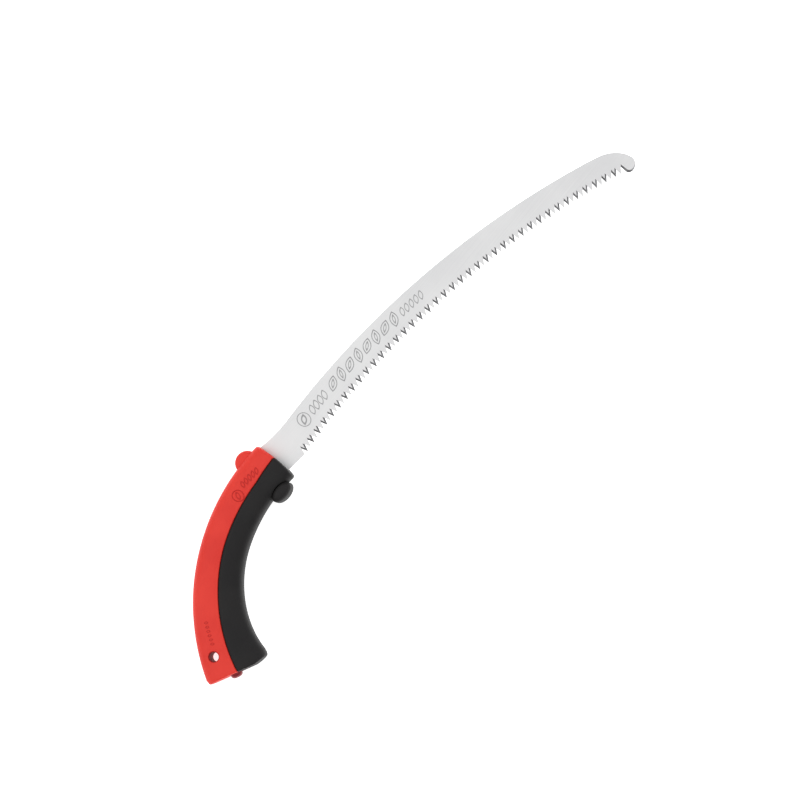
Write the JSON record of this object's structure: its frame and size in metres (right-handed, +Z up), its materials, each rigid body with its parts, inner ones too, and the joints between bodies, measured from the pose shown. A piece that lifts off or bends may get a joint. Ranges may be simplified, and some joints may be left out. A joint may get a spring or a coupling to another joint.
{
  "type": "curved pruning saw",
  "caption": "Curved fixed-blade hand saw with pull-stroke teeth on its concave edge, a two-colour soft grip, stops front and back by the blade, and a hanging hole in the butt.",
  "frame": {"origin": "on the plane the saw lies on, under the middle of its bounding box", "axes": "+X from the butt of the handle to the tip of the blade, +Y towards the back (spine) of the blade so the teeth point to -Y, +Z up, square to the blade's flat"},
  "size_m": [0.4901, 0.1063, 0.025],
  "materials": {
    "blade_steel": "satin",
    "red_rubber": "matte",
    "black_rubber": "matte",
    "core_nylon": "gloss",
    "zinc_steel": "satin"
  },
  "bodies": {
    "saw": {"saw_blade": "blade_steel", "near_core_shell": "core_nylon", "far_core_shell": "core_nylon", "red_back_grip": "red_rubber", "black_front_grip": "black_rubber", "red_rear_nub": "red_rubber", "black_finger_stop": "black_rubber", "tail_plug": "core_nylon", "front_blade_nut": "zinc_steel", "rear_blade_nut": "zinc_steel", "core_screw_1": "zinc_steel", "core_screw_2": "zinc_steel", "core_screw_3": "zinc_steel", "core_screw_4": "zinc_steel", "core_dowel_1": "zinc_steel", "core_dowel_2": "zinc_steel"},
    "front_bolt": {"front_blade_bolt": "zinc_steel", "front_spring_washer": "zinc_steel"},
    "rear_bolt": {"rear_blade_bolt": "zinc_steel", "rear_spring_washer": "zinc_steel"}
  },
  "joints": [
    {"name": "front_bolt_draw", "type": "slide", "parent": "saw", "child": "front_bolt", "axis": [0, 0, -1], "range_m": [0, 0.016]},
    {"name": "rear_bolt_draw", "type": "slide", "parent": "saw", "child": "rear_bolt", "axis": [0, 0, -1], "range_m": [0, 0.016]}
  ]
}
